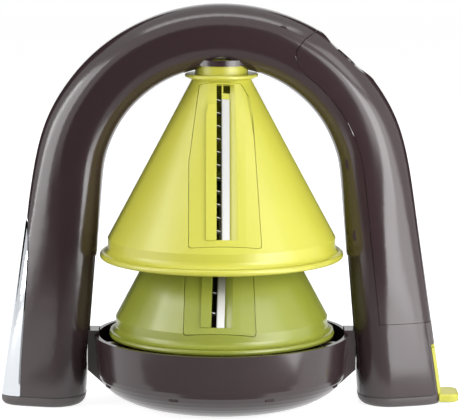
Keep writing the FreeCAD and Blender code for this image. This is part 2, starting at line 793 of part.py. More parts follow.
def make_cone(lip_height, skirt_radius, lip_radius, panel_bottom, slot_bottom, tooth_start,
              tooth_pitch, tooth_count, turn):
    """Cone body, slot panel, blade, comb and blade screws of one slicing cone."""
    filled, neck, crown = cone_outer(lip_height, skirt_radius, lip_radius)
    slant = math.hypot(1.0, cone_slope)
    panel_top = (neck - panel_under_flange - lip_height - lip_to_skirt) * slant
    slot_top = panel_top - slot_under_panel
    hollow = cone_inner(lip_height, skirt_radius)
    wall = filled.cut(hollow)

    def put(shape):
        return on_slope(shape, lip_height, skirt_radius)

    deep = panel_backing + screw_flush
    below = box(-FAR, FAR, -FAR, FAR, -FAR, neck - panel_under_flange / 2)
    window = put(plate(slot_outline(panel_bottom, panel_top, panel_gap), -deep, deep)).common(below)
    frame = put(plate(slot_outline(panel_bottom, panel_top, 0.0), -panel_backing, deep))
    frame = frame.common(below)
    socket = hexagon(hex_across + 2 * hex_gap, neck - hex_below_collar, crown + 1)
    body = wall.cut(window).cut(socket)

    backing_left, backing_right = ledge_left - 0.8, ramp_right + 1.0
    backing_low, backing_top = slot_bottom - 3.0, slot_top - 4.5
    backing = put(plate([(backing_left, backing_low), (backing_right, backing_low),
                         (backing_right, backing_top), (backing_left, backing_top)],
                        -panel_backing, -cone_wall / 2))
    panel = wall.fuse(backing.common(filled)).common(frame)
    ledge_top = slot_top - ledge_under_slot
    ledge = put(plate([(ledge_left, slot_bottom), (slot_left, slot_bottom), (slot_left, ledge_top),
                       (ledge_left + comb_inset, ledge_top),
                       (ledge_left, ledge_top - ledge_under_slot / 2)],
                      -cone_wall / 2, ledge_height))
    panel = panel.fuse(ledge)
    slot = put(plate([(slot_left, slot_bottom), (slot_right, slot_bottom), (slot_right, slot_top),
                      (slot_left, slot_top)], -2 * deep, 2 * deep))
    tilt = math.tan(math.radians(blade_tilt))
    seat_left = -blade_rise - blade_thickness
    seat_right = seat_left - blade_width * tilt
    blade_right = slot_right + blade_width
    ramp_left = blade_right + fit_gap
    pocket_section = [(slot_right - 0.1, deep), (slot_right - 0.1, seat_left), (blade_right, seat_right)]
    for k in range(ramp_steps + 1):
        share = k / ramp_steps
        pocket_section.append((ramp_left + share * (ramp_right - ramp_left),
                               (seat_right + ramp_end) * (1 - share) ** 2 - ramp_end))
    pocket_section.append((ramp_right, deep))
    pocket = put(across_slot(pocket_section, slot_bottom, slot_top))
    panel = panel.cut(pocket).cut(slot)

    bevel = blade_thickness
    blade_section = [(slot_right, -blade_rise - bevel / 4), (slot_right + bevel, -blade_rise),
                     (blade_right, -blade_rise - (blade_width - bevel) * tilt),
                     (blade_right, seat_right + fit_gap), (slot_right, seat_left + fit_gap)]
    blade = put(across_slot(blade_section, slot_bottom + 0.1, slot_top - blade_under_slot))

    comb_left, comb_low = ledge_left + comb_inset, slot_bottom + 1.0
    comb_back = -panel_backing - comb_thickness
    comb = plate([(comb_left, comb_low), (slot_left, comb_low),
                  (slot_left, backing_top - 2.5), (comb_left, backing_top - 2.5)],
                 comb_back, -panel_backing)
    tooth_left, tooth_right = slot_left + 0.08, slot_right - 0.3
    tooth_section = [(slot_left - 0.6, comb_back), (tooth_right, comb_back), (tooth_right, -2.6),
                     (slot_left + 0.5, -0.9), (tooth_left, -0.9), (tooth_left, -panel_backing),
                     (slot_left - 0.6, -panel_backing)]
    for k in range(tooth_count):
        low = tooth_start + k * tooth_pitch - tooth_thickness / 2
        comb = comb.fuse(across_slot(tooth_section, low, low + tooth_thickness))
    comb = put(comb)

    screws = []
    for share in blade_screw_shares:
        s = slot_bottom + (backing_top - slot_bottom) * share
        foot = V(blade_right - 1.5 * blade_screw_radius, s, -panel_backing - screw_flush)
        hole = Part.makeCylinder(blade_screw_radius, 2 * panel_backing, foot)
        reach = screw_flush + panel_backing + seat_right + 0.2
        shank = Part.makeCylinder(blade_screw_radius, reach, foot)
        head = Part.makeCylinder(2 * blade_screw_radius, screw_flush, foot)
        panel = panel.cut(put(hole))
        screws.append(put(shank.fuse(head)))
    pieces = [body, panel, blade, comb, Part.makeCompound(screws)]
    for piece in pieces:
        piece.rotate(V(0, 0, 0), AXIS_Z, turn)
    return pieces


def across_slot(section, s0, s1):
    """A section of (x, height) points, run along the slope from s0 to s1."""
    wire = Part.makePolygon([V(x, s0, h) for x, h in section + section[:1]])
    return Part.Face(wire).extrude(V(0, s1 - s0, 0))


# ---------------------------------------------------------------- bowl and spikes

def bowl_curve(inset):
    """Outside of the bowl from its flat bottom to its rim, moved inwards by inset."""
    points = []
    for k in range(13):
        turn = math.radians(7.5 * k)
        points.append((bowl_flat_radius + (bowl_belly_radius - bowl_flat_radius - inset) * math.sin(turn),
                       bowl_lift + inset
                       + (bowl_belly_height - bowl_lift - inset) * (1 - math.cos(turn))))
    points.append((bowl_rim_radius - inset, bowl_rim_height))
    return points


def make_bowl():
    curve = bowl_curve(0.0)
    outside = turned([(0.0, bowl_lift)] + curve + [(0.0, bowl_rim_height)])
    inner = bowl_curve(bowl_wall)
    inside = turned([(0.0, bowl_lift + bowl_wall)] + inner + [(inner[-1][0], bowl_rim_height + 5),
                                                             (0.0, bowl_rim_height + 5)])
    bowl = outside
    lug_end = channel_floor - lug_clearance
    for side in (1, -1):
        points = [(side * (bowl_rim_radius - 4), bowl_rim_height + lug_rise),
                  (side * lug_end, bowl_rim_height + lug_rise), (side * lug_end, lug_low),
                  (side * (lug_end - (lug_low - lug_root_low) * 1.1), lug_root_low),
                  (side * (bowl_belly_radius - 12), lug_root_low)]
        bowl = bowl.fuse(prism(points, -lug_half, lug_half))
    bowl = bowl.cut(inside)
    rib_top = lower_lip_height - 0.3
    rib_outer = bowl_belly_radius - bowl_wall + 0.6
    for k in range(seat_rib_count):
        rib = box(rib_outer - seat_rib_depth, rib_outer, -seat_rib_width / 2, seat_rib_width / 2,
                  bowl_belly_height - 8, rib_top)
        ridge = box(lower_lip_radius + 0.9, rib_outer, -seat_rib_width / 2, seat_rib_width / 2,
                    rib_top - 0.5, bowl_rim_height - ridge_under_rim)
        rib = rib.fuse(ridge)
        rib.rotate(V(0, 0, 0), AXIS_Z, 22.5 + 45 * k)
        bowl = bowl.fuse(rib)
    recess = Part.makeCylinder(base_pad_radius + pad_gap, base_pad_depth + 1, V(0, 0, -1))
    screw_hole = Part.makeCylinder(screw_radius, 30, V(0, 0, bowl_lift + bowl_wall - 1.2))
    return bowl.cut(recess).cut(screw_hole)


def make_spikes():
    floor = bowl_lift + bowl_wall
    top = floor + spike_disc_thickness
    disc = turned([(0, floor), (spike_disc_radius, floor), (spike_disc_radius, top - 1.0),
                   (spike_disc_radius - 1.0, top), (0, top)])
    disc = disc.cut(Part.makeCylinder(screw_radius, 30, V(0, 0, 0)))
    spikes = []
    for k in range(spike_count):
        turn = math.radians(360.0 * k / spike_count)
        foot = V(spike_circle * math.cos(turn), spike_circle * math.sin(turn), floor + 1.0)
        spikes.append(spike(foot, spike_radius, spike_length))
        disc = disc.cut(Part.makeCylinder(spike_radius, 10, foot))
    screw = Part.makeCylinder(screw_radius, top - floor + 1.2, V(0, 0, floor - 1.2))
    point = Part.makeCone(screw_head_radius, 0.3, centre_spike_length, V(0, 0, top))
    return disc, spikes, screw.fuse(point)


def spike(foot, radius, length):
    tip = 3.0
    shank = Part.makeCylinder(radius, length - tip, foot)
    return shank.fuse(Part.makeCone(radius, 0.15, tip, foot + V(0, 0, length - tip)))


# ---------------------------------------------------------------- drive

def gear_outline(scale, phase):
    """Tooth outline of a bevel gear at one end, as points round Z."""
    pitch_radius = gear_module * gear_teeth / 2
    tip = pitch_radius + 0.70 * gear_module * math.cos(math.radians(45))
    root = pitch_radius - 1.25 * gear_module * math.cos(math.radians(45))
    pitch = 2 * math.pi / gear_teeth
    half = tooth_share * pitch / 2
    points = []
    for k in range(gear_teeth):
        middle = phase + k * pitch
        for radius, offset in ((root, -half * 1.45), (tip, -half * 0.5), (tip, half * 0.5),
                               (root, half * 1.45)):
            turn = middle + offset
            points.append((scale * radius * math.cos(turn), scale * radius * math.sin(turn)))
    return points


def bevel_gear(phase):
    """Mitre gear with its cone's apex at the origin and its back towards -Z."""
    pitch_radius = gear_module * gear_teeth / 2
    drop = gear_face * math.cos(math.radians(45))
    scale = 1.0 - drop / pitch_radius
    wires = []
    for share, z in ((1.0, -pitch_radius), (scale, -pitch_radius * scale)):
        points = [V(x, y, z) for x, y in gear_outline(share, phase)]
        wires.append(Part.makePolygon(points + points[:1]))
    teeth = Part.makeLoft(wires, True, True, False)
    hub = Part.makeCylinder(pitch_radius - 1.6, gear_hub + 0.01, V(0, 0, -pitch_radius - gear_hub))
    bore = Part.makeCylinder(shaft_radius + fit_gap, 40, V(0, 0, -20))
    return teeth.fuse(hub).cut(bore)


def make_drive():
    """Spindle and crank shaft with their gears, bushes and the bracket that carries them."""
    apex = V(0, 0, shaft_height)
    pitch_radius = gear_module * gear_teeth / 2
    half_pitch = math.pi / gear_teeth
    spindle_gear = bevel_gear(math.pi / 2)
    spindle_gear.translate(apex)
    crank_gear = bevel_gear(-math.pi / 2 + half_pitch)
    crank_gear.rotate(V(0, 0, 0), AXIS_X, 90)
    crank_gear.translate(apex)

    gear_back = pitch_radius + gear_hub
    plate_low = collar_top + plate_gap
    plate_high = plate_low + bracket_plate
    wall_front = gear_back + 0.4

    bush_top = shaft_height - gear_back - 0.15
    spindle_bush = turned([(shaft_radius + running_gap, plate_low), (bush_outer, plate_low),
                           (bush_outer, plate_high), (bush_outer + 1.0, plate_high),
                           (bush_outer + 1.0, bush_top), (shaft_radius + running_gap, bush_top)])
    wall_rear = crown_depth / 2 - shell_wall - 0.25
    bracket = box(-bracket_half, bracket_half, -11.5, wall_rear, plate_low, plate_high)
    wall = box(-10.0, 10.0, wall_front, wall_rear, plate_low, shaft_height + 9.0)
    bracket = bracket.fuse(wall).common(mechanism_space)
    bracket = bracket.cut(Part.makeCylinder(bush_outer + fit_gap, 20, V(0, 0, plate_low - 5)))
    bracket = bracket.cut(rod(bush_outer + fit_gap, V(0, 5, shaft_height), V(0, 40, shaft_height)))

    rear_face = crown_depth / 2
    bush_profile = [(shaft_radius + running_gap, wall_front), (bush_outer, wall_front),
                    (bush_outer, rear_face + 0.1), (bush_outer + 1.8, rear_face + 0.1),
                    (bush_outer + 1.8, rear_face + 0.1 + bush_flange),
                    (shaft_radius + running_gap, rear_face + 0.1 + bush_flange)]
    crank_bush = turned(bush_profile)
    crank_bush.rotate(V(0, 0, 0), AXIS_X, -90)
    crank_bush.translate(apex)

    shaft_inner = pitch_radius - gear_face * 0.7
    crank_shaft = rod(shaft_radius, apex + V(0, shaft_inner, 0),
                      apex + V(0, crank_front + crank_thickness - 1.0, 0))
    stop = rod(shaft_radius + 2.5, apex + V(0, rear_face + bush_flange + 0.4, 0),
               apex + V(0, crank_front, 0))
    crank_shaft = crank_shaft.fuse(stop)

    hex_low = collar_top - hex_below_collar
    spindle_top = shaft_height - shaft_inner
    spindle = Part.makeCylinder(shaft_radius, spindle_top - collar_top, V(0, 0, collar_top))
    spindle = spindle.fuse(hexagon(hex_across, hex_low, collar_top + 0.5))
    return spindle, spindle_gear, spindle_bush, crank_shaft, crank_gear, crank_bush, bracket


def make_crank():
    """Arm, knob pin, knob, knob cap and end screw of the crank."""
    low = shaft_height - crank_throw
    y0, y1 = crank_front, crank_front + crank_thickness
    hub = rod(crank_hub_radius, V(0, y0, shaft_height), V(0, y1, shaft_height))
    tip = rod(crank_tip_radius, V(0, y0, low), V(0, y1, low))
    blank = prism([(-crank_hub_radius + 0.6, shaft_height), (crank_hub_radius - 0.6, shaft_height),
                   (crank_tip_radius - 0.5, low), (-crank_tip_radius + 0.5, low)], y0, y1)
    arm = hub.fuse(tip).fuse(blank).removeSplitter()
    recess = prism([(-4.5, shaft_height - 14), (4.5, shaft_height - 14),
                    (3.4, low + 12), (-3.4, low + 12)], y1 - 1.6, y1 + 1)
    arm = arm.cut(recess)
    arm = arm.cut(rod(shaft_radius + fit_gap, V(0, y0 - 1, shaft_height), V(0, y1 + 1, shaft_height)))
    pin_foot = y0 + 1.5
    arm = arm.cut(rod(knob_pin_radius, V(0, pin_foot, low), V(0, y1 + 5, low)))

    knob_start = y1 + knob_gap
    knob_end = knob_start + knob_length
    profile = [(knob_pin_radius + running_gap, knob_start), (knob_neck_radius - 0.8, knob_start),
               (knob_neck_radius, knob_start + 1.0)]
    for k in range(1, 9):
        share = k / 9.0
        radius = knob_neck_radius + (knob_radius - knob_neck_radius) * math.sin(math.pi * share * 0.72)
        profile.append((radius, knob_start + 1.0 + (knob_length - 3.0) * share))
    profile += [(knob_neck_radius - 1.0, knob_end), (5.2, knob_end), (5.2, knob_end - 3.0),
                (knob_pin_radius + running_gap, knob_end - 3.0)]
    knob = turned(profile)
    cap = turned([(0, knob_end - 1.6), (5.1, knob_end - 1.6), (5.1, knob_end + 0.2),
                  (3.6, knob_end + 0.9), (0, knob_end + 1.1)])
    for piece in (knob, cap):
        piece.rotate(V(0, 0, 0), AXIS_X, -90)
        piece.translate(V(0, 0, low))
    pin = rod(knob_pin_radius, V(0, pin_foot, low), V(0, knob_end - 2.8, low))
    screw = rod(5.0, V(0, y1, shaft_height), V(0, y1 + 1.8, shaft_height))
    screw = screw.cut(box(-6, 6, y1 + 1.0, y1 + 4, shaft_height - 0.6, shaft_height + 0.6))
    return arm, pin, knob, cap, screw


# ---------------------------------------------------------------- thumb button and release bar

def make_button():
    """Button, its spring and the guide cup under it, made with +Z out of the limb."""
    face = -dish_depth - 0.1
    body = Part.makeCylinder(button_radius, 6.0, V(0, 0, face - 6.0))
    flange = Part.makeCylinder(button_radius + 1.6, 1.2, V(0, 0, face - 6.0))
    hollow = Part.makeSphere(22.0, V(0, 0, face + 22.0 - 0.9))
    stem_end = -(button_distance() - bar_radius) - 1.0
    stem = Part.makeCylinder(button_stem_radius, face - 5.0 - stem_end, V(0, 0, stem_end))
    wedge = Part.Face(Part.makePolygon([
        V(-4, -5, stem_end - 1), V(-4, -5, stem_end + 5), V(2, -5, stem_end - 1),
        V(-4, -5, stem_end - 1)])).extrude(V(0, 10, 0))
    button = body.fuse(flange).cut(hollow).fuse(stem).cut(wedge)
    guide_top, guide_low = face - 4.4, face - 16.0
    cup = Part.makeCylinder(button_radius + 4.0, guide_top - guide_low, V(0, 0, guide_low))
    cup = cup.cut(Part.makeCylinder(button_radius + 2.0, 30, V(0, 0, guide_low + 1.6)))
    cup = cup.cut(Part.makeCylinder(button_stem_radius + button_gap, 60, V(0, 0, -40)))
    cup = cup.fuse(ear(guide_top, 1)).fuse(ear(guide_top, -1))
    spring_low, spring_top = guide_low + 1.7, face - 6.1
    spring = Part.makeCylinder(5.0, spring_top - spring_low, V(0, 0, spring_low))
    spring = spring.cut(Part.makeCylinder(4.0, 60, V(0, 0, -40)))
    return [button_frame(s) for s in (button, cup, spring)]


def ear(top, side):
    """Foot of the guide cup that reaches the dish bezel's underside."""
    inner, outer = button_radius + 3.0, button_radius + 7.0
    x0, x1 = sorted((inner * side, outer * side))
    return box(x0, x1, -3, 3, top - 5.0, -dish_thickness - 0.1)


def button_distance():
    """From the arch's centre to the button's origin."""
    return (button_origin - arch_centre).Length


def sector(radius_in, radius_out, half_width, low_angle, high_angle):
    """A bent bar about the arch's centre."""
    face = Part.Face(Part.makePolygon([
        V(radius_in, -half_width, 0), V(radius_out, -half_width, 0), V(radius_out, half_width, 0),
        V(radius_in, half_width, 0), V(radius_in, -half_width, 0)]))
    bar = face.revolve(V(0, 0, 0), V(0, -1, 0), high_angle - low_angle)
    bar = about_y(bar, low_angle, V(0, 0, 0))
    bar.translate(arch_centre)
    return bar


def make_release_bar():
    inner, outer = bar_radius - bar_height / 2, bar_radius + bar_height / 2
    bar = sector(inner, outer, bar_half_width, bar_low_angle, bar_high_angle)
    nose_start = collar_radius + nose_gap
    web_in = nose_start + 7.0
    nose = box(nose_start, web_in + 5.0, -3.0, 3.0, nose_low, nose_low + 1.5)
    web = prism([(web_in, nose_low), (web_in + 5.0, nose_low), (web_in + 7.0, nose_low + 8.0),
                 (web_in + 1.0, nose_low + 8.0)], -3.0, 3.0)
    bar = bar.fuse(nose).fuse(web)
    slot = Part.Face(Part.makePolygon([
        V(-4.6, -3.4, 4.2), V(4.6, -3.4, -5.0), V(8.5, -3.4, -5.0), V(8.5, -3.4, 4.2),
        V(-4.6, -3.4, 4.2)])).extrude(V(0, 6.8, 0))
    slot.translate(V(0, 0, -(button_distance() - bar_radius)))
    return bar.cut(button_frame(slot))


def make_release_rail():
    """Channel that the release bar slides in, with two feet to the rear shell."""
    inner, outer = bar_radius - bar_height / 2, bar_radius + bar_height / 2
    side = bar_half_width + bar_gap
    rail = sector(inner - 2.4, outer - 1.0, side + 1.8, bar_low_angle + 2, bar_high_angle - 7)
    rail = rail.cut(sector(inner - bar_gap, outer + 5, side, bar_low_angle - 10, bar_high_angle + 10))
    for low in (bar_low_angle + 2, bar_high_angle - 11):
        rail = rail.fuse(sector(inner - 2.4, outer - 1.0, crown_depth / 2, low, low + 4).cut(
            box(-200, 200, -60, side + 0.5, 0, 300)))
    shaft = Part.makeCylinder(button_stem_radius + 1.0, 40, V(0, 0, -50))
    return rail.common(mechanism_space).cut(button_frame(shaft))


# ---------------------------------------------------------------- assembly

def main():
    front, rear = make_shells()
    save("arch_front_shell", front)
    save("arch_rear_shell", rear)
    save("right_limb_cover", make_cover())
    save("chrome_trim", make_trim())
    save("button_dish", make_dish())
    for side, name in ((-1, "left"), (1, "right")):
        save(name + "_foot_cap", make_cap(side))
        pad = pad_block(side, 0.0, pad_thickness).cut(channel_space(side))
        save(name + "_foot_pad", pad)
        save(name + "_guide_channel", make_channel(side))
    screws = []
    for x, z, reach in boss_places():
        shank = rod(screw_radius - fit_gap, V(x, -reach + 4.0, z), V(x, reach - 6.0, z))
        screws.append(shank.fuse(rod(screw_head_radius, V(x, reach - 6.0, z), V(x, reach - 4.0, z))))
    save("shell_screws", *screws)

    lever = make_lever()
    save("clamp_lever", lever)
    save("right_leg_spine", make_spine())
    save("lever_pin", rod(lever_pin_radius, V(lever_pin_x, -lever_pin_half, lever_pin_height),
                          V(lever_pin_x, lever_pin_half, lever_pin_height)))
    clamp_rod, clamp_tip = make_clamp()
    save("clamp_rod", clamp_rod)
    save("clamp_tip", clamp_tip)

    names = ("cone", "slot_panel", "blade", "comb", "blade_screws")
    upper = make_cone(upper_lip_height, upper_skirt_radius, upper_lip_radius, 4.5, 8.2, 13.9, 7.56,
                      11, 0.0)
    lower = make_cone(lower_lip_height, lower_skirt_radius, lower_lip_radius, 0.3, 3.9, 12.6, 11.5,
                      7, lower_turn)
    for prefix, pieces in (("upper_", upper), ("lower_", lower)):
        for name, piece in zip(names, pieces):
            save(prefix + name, piece)

    save("bowl", make_bowl())
    save("bowl_base_pad", Part.makeCylinder(base_pad_radius, base_pad_depth))
    disc, spikes, centre = make_spikes()
    save("spike_disc", disc)
    save("food_spikes", *spikes)
    save("centre_spike", centre)

    drive_names = ("spindle", "spindle_gear", "spindle_bush", "crank_shaft", "crank_gear",
                   "crank_bush", "gear_bracket")
    for name, piece in zip(drive_names, make_drive()):
        save(name, piece)
    for name, piece in zip(("crank_arm", "knob_pin", "crank_knob", "knob_cap", "crank_screw"),
                           make_crank()):
        save(name, piece)
    for name, piece in zip(("release_button", "button_guide", "button_spring"), make_button()):
        save(name, piece)
    save("release_bar", make_release_bar())
    save("release_rail", make_release_rail())


main()
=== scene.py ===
# %% [markdown]
# # A tornado potato cutter, dressed in Blender
#
# The object is a table-top slicer: an arch on two feet holds a cone with a slot and a blade, a bowl
# under it catches the slices, and a second cone is stored in the bowl. The engineering model gives
# every solid in metres, with +Z up, the slots towards -Y and the clamp lever on the +X leg. This
# lesson keeps those solids as they are, gives each one a finish, and lays a thin dark cord in the
# joint of each foot as painted shade for the shade in that joint.

# %% The imported model
import json
import math

import bpy
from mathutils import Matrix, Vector


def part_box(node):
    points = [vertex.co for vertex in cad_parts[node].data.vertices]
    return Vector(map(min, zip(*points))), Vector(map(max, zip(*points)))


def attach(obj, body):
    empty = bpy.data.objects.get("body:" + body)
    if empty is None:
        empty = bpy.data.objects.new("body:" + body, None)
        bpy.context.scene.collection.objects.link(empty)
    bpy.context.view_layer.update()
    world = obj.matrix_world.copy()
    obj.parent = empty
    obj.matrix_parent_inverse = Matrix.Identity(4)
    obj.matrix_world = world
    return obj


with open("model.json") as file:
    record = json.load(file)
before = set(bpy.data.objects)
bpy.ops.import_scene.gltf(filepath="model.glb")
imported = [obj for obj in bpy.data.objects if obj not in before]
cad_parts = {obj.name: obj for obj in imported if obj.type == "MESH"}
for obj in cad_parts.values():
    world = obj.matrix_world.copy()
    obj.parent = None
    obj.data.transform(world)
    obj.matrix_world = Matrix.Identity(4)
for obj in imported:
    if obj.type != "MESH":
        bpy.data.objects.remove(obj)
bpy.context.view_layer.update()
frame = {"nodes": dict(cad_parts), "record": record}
nodes = frame["nodes"]
MM = 0.001

# %% [markdown]
# ## Camera
#
# A product picture is taken from far away with a long lens, so that near and far edges keep
# their proportions. The camera looks slightly down, which opens the bowl's rim and the cone's lip.

# %% Camera
camera_place = Vector((0.0, -1.440, 0.320))
camera_target = Vector((0.00495, 0.0, 0.1090))
camera_data = bpy.data.cameras.new("camera")
camera_data.lens = 204.6
camera_data.sensor_width = 36.0
camera_data.clip_end = 20.0
camera = bpy.data.objects.new("camera", camera_data)
camera.location = camera_place
camera.rotation_euler = (camera_target - camera_place).to_track_quat("-Z", "Y").to_euler()
bpy.context.scene.collection.objects.link(camera)
bpy.context.scene.camera = camera
bpy.context.scene.view_settings.view_transform = "Standard"
print("camera", [round(v, 3) for v in camera_place], "lens", round(camera_data.lens, 1), "mm")

# %% [markdown]
# ## Lamps
#
# A studio shot of glossy plastic is mostly a picture of its lamps: each soft lamp shows as a bright
# band along the curved limbs. A point lamp or a sun would leave only a dot, so the lamps are area
# lamps, whose width sets the width of the band. A lamp's power grows with its size here, so that
# the number to choose is its brightness, which is what the band shows.

# %% A lamp and its place
def hang_lamp(name, place, target, size, brightness):
    """A rectangular soft lamp, turned towards a target; white paper in the sun is about 1."""
    data = bpy.data.lights.new(name, "AREA")
    data.shape = "RECTANGLE"
    data.size, data.size_y = size
    data.energy = brightness * math.pi * size[0] * size[1]
    lamp = bpy.data.objects.new(name, data)
    lamp.location = place
    lamp.rotation_euler = (Vector(target) - Vector(place)).to_track_quat("-Z", "Y").to_euler()
    bpy.context.scene.collection.objects.link(lamp)
    return lamp


def around(azimuth, distance, height):
    """A place round the object; azimuth 0 is the camera's side, 90 the clamp's side."""
    angle = math.radians(azimuth)
    return (distance * math.sin(angle), -distance * math.cos(angle), height)


print("the clamp's side is", [round(v, 3) for v in around(90, 1.0, 0.0)])

# %% [markdown]
# The left side has a narrow strip for a sharp band and a wide box for a soft one. The clamp's side
# has boxes close to the leg, because a near lamp is mirrored over more of a round limb, and a
# weaker one further off for the cone. One box above draws the crown's long band, and a large one
# behind opens up the back, hidden from mirrors so that the chrome trim stays clear.

# %% Lamps
left_limb = (-0.10, 0.0, 0.14)
cone_middle = (0.0, 0.0, 0.14)
right_limb = (0.110, -0.030, 0.150)
right_shoulder = (0.115, -0.035, 0.200)
cone_front = (0.02, -0.02, 0.14)
under_crown = (0.0, 0.0, 0.15)
stand_middle = (0.0, 0.0, 0.12)
lamps = (
    ("strip_left", around(-82, 0.80, 0.32), left_limb, (0.07, 0.60), 9.0),
    ("soft_left", around(-66, 0.85, 0.38), cone_middle, (0.42, 0.76), 3.6),
    ("soft_right", (0.300, -0.330, 0.150), right_limb, (0.19, 0.30), 6.6),
    ("fill_right", (0.450, -0.235, 0.170), right_limb, (0.15, 0.34), 3.2),
    ("soft_upper", (0.181, -0.405, 0.230), right_shoulder, (0.12, 0.22), 3.8),
    ("haze_right", around(58, 0.55, 0.56), cone_front, (0.30, 0.26), 2.4),
    ("soft_top", (0.0, -0.05, 0.95), under_crown, (0.90, 0.22), 3.2),
    ("soft_back", (0.0, 1.30, 0.75), stand_middle, (1.40, 0.70), 1.8),
)
hung = {name: hang_lamp(name, *rest) for name, *rest in lamps}
hung["soft_back"].visible_glossy = False
print("lamps", {name: round(lamp.data.energy, 2) for name, lamp in hung.items()})

# %% [markdown]
# ## White for the eye
#
# The background has to be white, yet the light on the object has to stay level. Light Path tells
# the two apart: a ray from the camera, a mirror or a clear part sees white, every other ray finds
# a grey world.

# %% A value for looks and one for light
def seen_white(tree, lit, seen):
    """A value that is one number for rays that look and another for rays that light."""
    path = tree.nodes.new("ShaderNodeLightPath")
    looks = path.outputs["Is Camera Ray"]
    for other in ("Is Glossy Ray", "Is Transmission Ray"):
        either = tree.nodes.new("ShaderNodeMath")
        either.operation = "MAXIMUM"
        tree.links.new(looks, either.inputs[0])
        tree.links.new(path.outputs[other], either.inputs[1])
        looks = either.outputs[0]
    value = tree.nodes.new("ShaderNodeMapRange")
    value.inputs["To Min"].default_value = lit
    value.inputs["To Max"].default_value = seen
    tree.links.new(looks, value.inputs["Value"])
    return value.outputs["Result"]


white = (1.0, 1.0, 1.0, 1.0)
world_lit, world_seen = 0.20, 1.0
world = bpy.data.worlds.new("studio")
bpy.context.scene.world = world
world.use_nodes = True
background = world.node_tree.nodes["Background"]
background.inputs["Color"].default_value = white
world.node_tree.links.new(seen_white(world.node_tree, world_lit, world_seen),
                          background.inputs["Strength"])
print("world gives", world_lit, "and shows", world_seen)

# %% [markdown]
# ## Floor
#
# A studio uses a paper roll without an edge. A wide flat sheet does the same here: it adds white
# for the eye to its own lit grey, so it joins the background and still takes the soft shadow.

# %% Sheets and dull materials
def plain(name, grey):
    """A dull material in one grey, with no mirror of its own."""
    material = bpy.data.materials.new(name)
    material.use_nodes = True
    shader = material.node_tree.nodes["Principled BSDF"]
    shader.inputs["Base Color"].default_value = (grey, grey, grey, 1.0)
    shader.inputs["Roughness"].default_value = 1.0
    shader.inputs["Specular IOR Level"].default_value = 0.0
    return material


def white_emission(material):
    """Makes the light that a material gives off white, and returns the socket of its strength."""
    shader = material.node_tree.nodes["Principled BSDF"]
    shader.inputs["Emission Color"].default_value = white
    return shader.inputs["Emission Strength"]


def stand_sheet(name, corners, material):
    """One flat sheet of the stage, which is no part of the object."""
    mesh = bpy.data.meshes.new(name)
    mesh.from_pydata(corners, [], [(0, 1, 2, 3)])
    mesh.materials.append(material)
    sheet = bpy.data.objects.new(name, mesh)
    bpy.context.scene.collection.objects.link(sheet)
    return sheet


floor_reach = 3.0
floor_grey, floor_glow = 0.55, 0.88
paper = plain("paper", floor_grey)
paper.node_tree.links.new(seen_white(paper.node_tree, 0.0, floor_glow), white_emission(paper))
floor = stand_sheet("floor", [(-floor_reach, -floor_reach, 0), (floor_reach, -floor_reach, 0),
                              (floor_reach, floor_reach, 0), (-floor_reach, floor_reach, 0)], paper)
print("floor", [round(v, 1) for v in floor.dimensions[:2]], "m")

# %% [markdown]
# ## Black flags
#
# A white room all round makes dark plastic look milky. A studio stands black flags where it wants
# a dark edge: one behind each side of the object, and the dark of the room behind the camera. The
# flags only show in reflections, so they take no light from the object.

# %% Black flags
def only_reflected(sheet):
    """Keeps a sheet for reflections alone: no eye sees it and it casts no shade."""
    sheet.visible_camera = False
    sheet.visible_diffuse = False
    sheet.visible_shadow = False


felt_grey = 0.01
felt = plain("felt", felt_grey)
flags = (("flag_left", -165, -112, 1.1, 1.2), ("flag_right", 112, 165, 1.1, 1.2),
         ("dark_room", -24, 24, 1.7, 0.75))
for name, start, end, near, high in flags:
    first, last = around(start, near, 0.0), around(end, near, 0.0)
    only_reflected(stand_sheet(name, [first, last, (*last[:2], high), (*first[:2], high)], felt))
    print(name, "from", start, "to", end, "degrees,", near, "m away")

# %% [markdown]
# ## Dark cloth and grey card
#
# Low down, the mirror of a leg is the table in front of it. A dark cloth on the table keeps the
# legs dark between their bands, and a grey card nearer to the object keeps the bowl and the feet
# from looking chalky. The card ends early on the left, where the chrome trim would mirror it as a
# stain.

# %% Dark cloth and grey card
card_grey = 0.50
sheet_high = 0.002
cloth_near, cloth_far, cloth_near_side, cloth_far_side = -0.36, -2.60, 0.50, 2.20
card_near, card_left, card_right = -0.075, -0.16, 0.36
only_reflected(stand_sheet("dark_cloth", [
    (-cloth_far_side, cloth_far, sheet_high), (cloth_far_side, cloth_far, sheet_high),
    (cloth_near_side, cloth_near, sheet_high), (-cloth_near_side, cloth_near, sheet_high)], felt))
only_reflected(stand_sheet("card", [
    (card_left, cloth_near, sheet_high), (card_right, cloth_near, sheet_high),
    (card_right, card_near, sheet_high), (card_left, card_near, sheet_high)],
    plain("grey_card", card_grey)))
print("card", round(card_right - card_left, 3), "by", round(card_near - cloth_near, 3), "m")

# %% [markdown]
# ## The lamp's image in the table
#
# A polished table also carries the lamp's own image, so the bright band on the clamp's leg runs on
# down to its foot. A shiny table would mirror the whole object too, so a glowing patch under
# that lamp, seen in reflections alone, stands for the image.

# %% The lamp's image in the table
glow_strength = 4.6
glow_high = 2 * sheet_high
glow_outline = ((0.120, -0.085), (0.175, -0.330), (0.520, -0.250), (0.240, -0.072))
glow = plain("glow", 0.0)
white_emission(glow).default_value = glow_strength
only_reflected(stand_sheet("table_glow", [(x, y, glow_high) for x, y in glow_outline], glow))

# %% [markdown]
# ## Plastic
#
# Moulded plastic is never one flat colour: the pigment clouds a little, the polish of the tool
# varies, and the skin has a very fine orange-peel ripple that breaks up reflections. A painted
# picture could hold all that, but noise needs no unwrapping and fits every solid. One helper builds
# it, and each plastic sets its own numbers.

